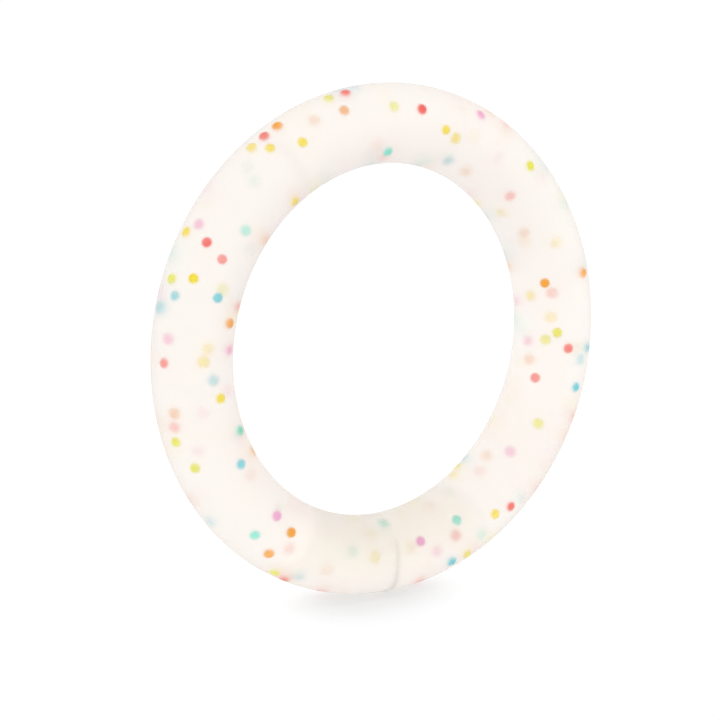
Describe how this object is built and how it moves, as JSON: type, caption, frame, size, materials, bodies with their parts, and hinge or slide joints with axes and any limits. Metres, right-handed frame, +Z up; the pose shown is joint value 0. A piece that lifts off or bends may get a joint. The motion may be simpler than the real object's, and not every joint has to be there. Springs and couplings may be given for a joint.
{
  "type": "teething ring",
  "caption": "Round silicone teething ring: a milky translucent hollow tube closed over an inner plug, with small coloured confetti pieces in its wall.",
  "frame": {"origin": "on the floor under the ring's centre, at the middle of the small flat it stands on", "axes": "+Z up, +Y along the ring's axis out of its back, +X to the right seen from the front; the ring stands on its edge in the XZ plane and its front faces -Y"},
  "size_m": [0.0842, 0.013, 0.0841],
  "materials": {
    "milky_silicone": "matte, milky, translucent silicone",
    "plug_silicone": "matte, milky, slightly denser silicone",
    "silicone_adhesive": "satin cured silicone adhesive",
    "confetti_orange": "soft matte pigmented silicone",
    "confetti_yellow": "soft matte pigmented silicone",
    "confetti_lemon": "soft matte pigmented silicone",
    "confetti_coral": "soft matte pigmented silicone",
    "confetti_peach": "soft matte pigmented silicone",
    "confetti_orchid": "soft matte pigmented silicone",
    "confetti_sky": "soft matte pigmented silicone",
    "confetti_mint": "soft matte pigmented silicone",
    "confetti_teal": "soft matte pigmented silicone"
  },
  "bodies": {
    "root": {"confetti_coral_01": "confetti_coral", "confetti_coral_02": "confetti_coral", "confetti_coral_03": "confetti_coral", "confetti_coral_04": "confetti_coral", "confetti_coral_05": "confetti_coral", "confetti_coral_06": "confetti_coral", "confetti_coral_07": "confetti_coral", "confetti_coral_08": "confetti_coral", "confetti_coral_09": "confetti_coral", "confetti_coral_10": "confetti_coral", "confetti_coral_11": "confetti_coral", "confetti_coral_12": "confetti_coral", "confetti_lemon_01": "confetti_lemon", "confetti_lemon_02": "confetti_lemon", "confetti_lemon_03": "confetti_lemon", "confetti_lemon_04": "confetti_lemon", "confetti_lemon_05": "confetti_lemon", "confetti_lemon_06": "confetti_lemon", "confetti_lemon_07": "confetti_lemon", "confetti_lemon_08": "confetti_lemon", "confetti_lemon_09": "confetti_lemon", "confetti_mint_01": "confetti_mint", "confetti_mint_02": "confetti_mint", "confetti_mint_03": "confetti_mint", "confetti_orange_01": "confetti_orange", "confetti_orange_02": "confetti_orange", "confetti_orange_03": "confetti_orange", "confetti_orange_04": "confetti_orange", "confetti_orange_05": "confetti_orange", "confetti_orange_06": "confetti_orange", "confetti_orange_07": "confetti_orange", "confetti_orchid_01": "confetti_orchid", "confetti_orchid_02": "confetti_orchid", "confetti_orchid_03": "confetti_orchid", "confetti_orchid_04": "confetti_orchid", "confetti_orchid_05": "confetti_orchid", "confetti_peach_01": "confetti_peach", "confetti_sky_01": "confetti_sky", "confetti_sky_02": "confetti_sky", "confetti_sky_03": "confetti_sky", "confetti_sky_04": "confetti_sky", "confetti_sky_05": "confetti_sky", "confetti_sky_06": "confetti_sky", "confetti_sky_07": "confetti_sky", "confetti_teal_01": "confetti_teal", "confetti_teal_02": "confetti_teal", "confetti_yellow_01": "confetti_yellow", "confetti_yellow_02": "confetti_yellow", "confetti_yellow_03": "confetti_yellow", "confetti_yellow_04": "confetti_yellow", "confetti_yellow_05": "confetti_yellow", "confetti_yellow_06": "confetti_yellow", "confetti_yellow_07": "confetti_yellow", "confetti_yellow_08": "confetti_yellow", "confetti_yellow_09": "confetti_yellow", "confetti_yellow_10": "confetti_yellow", "confetti_yellow_11": "confetti_yellow", "joining_plug": "plug_silicone", "ring_tube": "milky_silicone", "seam_bond": "silicone_adhesive"}
  },
  "joints": []
}
